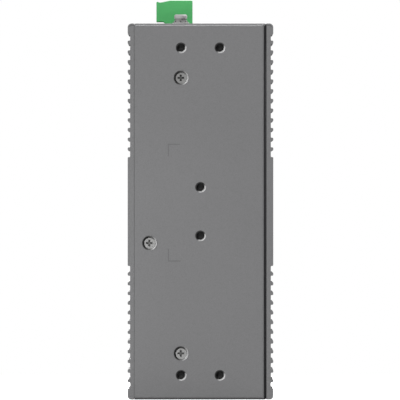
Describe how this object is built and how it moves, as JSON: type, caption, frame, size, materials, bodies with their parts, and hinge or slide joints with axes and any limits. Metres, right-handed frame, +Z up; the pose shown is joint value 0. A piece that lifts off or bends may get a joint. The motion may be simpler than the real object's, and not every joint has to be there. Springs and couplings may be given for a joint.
{
  "type": "poe switch",
  "caption": "Upright industrial network switch with power over the sockets, finned side plates and a rear face drilled for a rail clip or wall brackets.",
  "frame": {"origin": "middle of the base, on the surface that the case stands on", "axes": "+Z up, the rear mounting face looks towards -Y, the socket face towards +Y"},
  "size_m": [0.06, 0.112, 0.1646],
  "materials": {
    "case_paint": "fine textured powder coat",
    "plate_paint": "fine textured powder coat",
    "plated_steel": "bright zinc plate",
    "tinned_sheet": "satin tin plate",
    "gold_contact": "gold flash",
    "green_plastic": "satin moulded",
    "black_plastic": "satin moulded",
    "circuit_board": "solder mask",
    "chip_resin": "matt moulded",
    "bare_aluminium": "mill finish",
    "heat_pad": "matt soft",
    "ferrite": "matt sintered",
    "winding_tape": "taped",
    "capacitor_sleeve": "shrink sleeve",
    "lamp_lens": "clear moulded"
  },
  "bodies": {
    "root": {"chassis_tray": "case_paint", "front_panel": "case_paint", "left_side_plate": "plate_paint", "right_side_plate": "plate_paint", "left_plate_screws": "plated_steel", "right_plate_screws": "plated_steel", "rear_screws": "plated_steel", "front_panel_screws": "plated_steel", "main_standoffs": "plated_steel", "main_board_screws": "plated_steel", "power_standoffs": "plated_steel", "power_board_screws": "plated_steel", "ground_screw": "plated_steel", "ground_spring_washer": "plated_steel", "ground_tooth_washer": "plated_steel", "ground_flat_washer": "plated_steel", "ground_nut": "plated_steel", "terminal_screws": "plated_steel", "terminal_clamps": "plated_steel", "socket_shields": "tinned_sheet", "module_cage_1": "tinned_sheet", "module_cage_2": "tinned_sheet", "terminal_pins": "tinned_sheet", "clock_crystal": "tinned_sheet", "socket_contacts": "gold_contact", "terminal_plug": "green_plastic", "terminal_header": "green_plastic", "socket_pair_1": "black_plastic", "socket_pair_2": "black_plastic", "socket_pair_3": "black_plastic", "socket_pair_4": "black_plastic", "module_connectors": "black_plastic", "lamp_holders": "black_plastic", "link_header": "black_plastic", "link_socket": "black_plastic", "alarm_relay": "black_plastic", "input_fuse": "black_plastic", "main_board": "circuit_board", "power_board": "circuit_board", "switch_chip": "chip_resin", "port_magnetics": "chip_resin", "memory_chips": "chip_resin", "port_controllers": "chip_resin", "surge_suppressors": "chip_resin", "power_switches": "chip_resin", "power_controller": "chip_resin", "board_carrier": "bare_aluminium", "heat_spreader": "bare_aluminium", "switch_heat_sink": "bare_aluminium", "thermal_sheet": "heat_pad", "heat_pads": "heat_pad", "transformer_core": "ferrite", "power_inductors": "ferrite", "transformer_winding": "winding_tape", "bulk_capacitors": "capacitor_sleeve", "status_lamps": "lamp_lens"}
  },
  "joints": []
}
